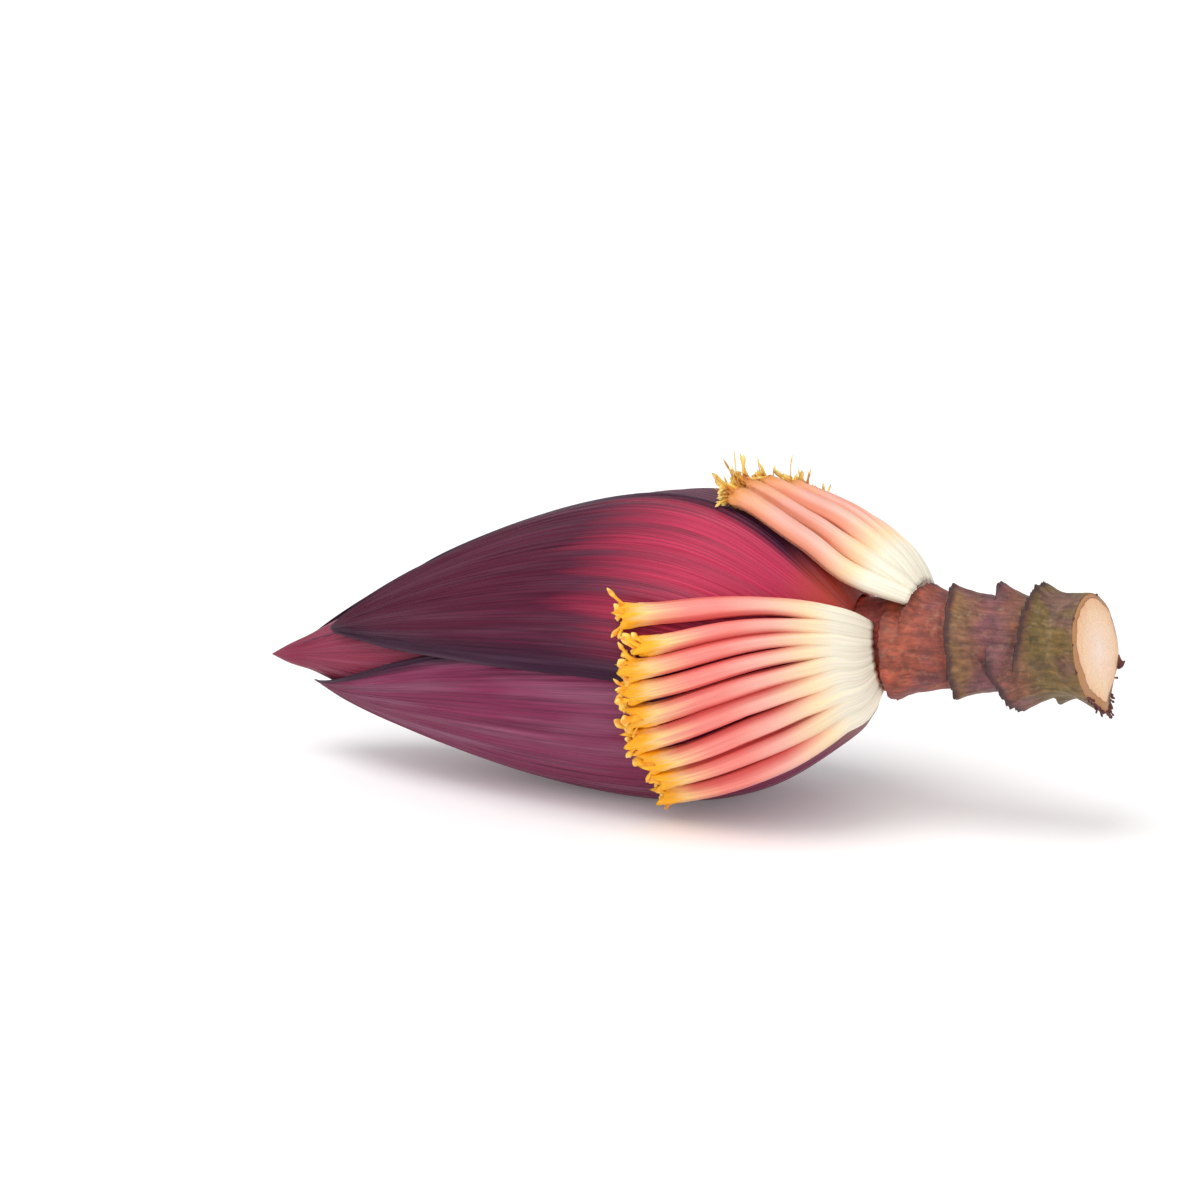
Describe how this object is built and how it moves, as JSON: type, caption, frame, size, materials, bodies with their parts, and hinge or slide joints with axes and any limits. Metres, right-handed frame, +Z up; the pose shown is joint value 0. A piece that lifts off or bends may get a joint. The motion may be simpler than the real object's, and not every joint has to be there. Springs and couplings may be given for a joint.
{
  "type": "banana blossom",
  "caption": "Cut banana blossom lying on its belly: overlapping bracts round a pointed bud, two hands of bare florets and a scarred stalk.",
  "frame": {"origin": "middle of the flat resting patch on the underside, on the floor", "axes": "+X from the bud's point towards the cut end of the stalk, +Z up, +Y to the side away from the front hand of florets"},
  "size_m": [0.229, 0.0868, 0.0845],
  "materials": {
    "stalk": "matte, mottled, cut face paler",
    "inner_bud": "satin, waxy",
    "bract_under": "satin, waxy bloom",
    "bract_back": "satin, waxy bloom",
    "bract_front": "satin, waxy bloom",
    "floret": "satin"
  },
  "bodies": {
    "root": {"stalk": "stalk", "inner_bud": "inner_bud", "bract_under": "bract_under", "bract_back": "bract_back", "bract_front": "bract_front", "front_floret_1": "floret", "front_floret_2": "floret", "front_floret_3": "floret", "front_floret_4": "floret", "front_floret_5": "floret", "front_floret_6": "floret", "front_floret_7": "floret", "front_floret_8": "floret", "front_floret_9": "floret", "top_floret_1": "floret", "top_floret_2": "floret", "top_floret_3": "floret", "top_floret_4": "floret", "top_floret_5": "floret", "top_floret_6": "floret", "top_floret_7": "floret"}
  },
  "joints": []
}
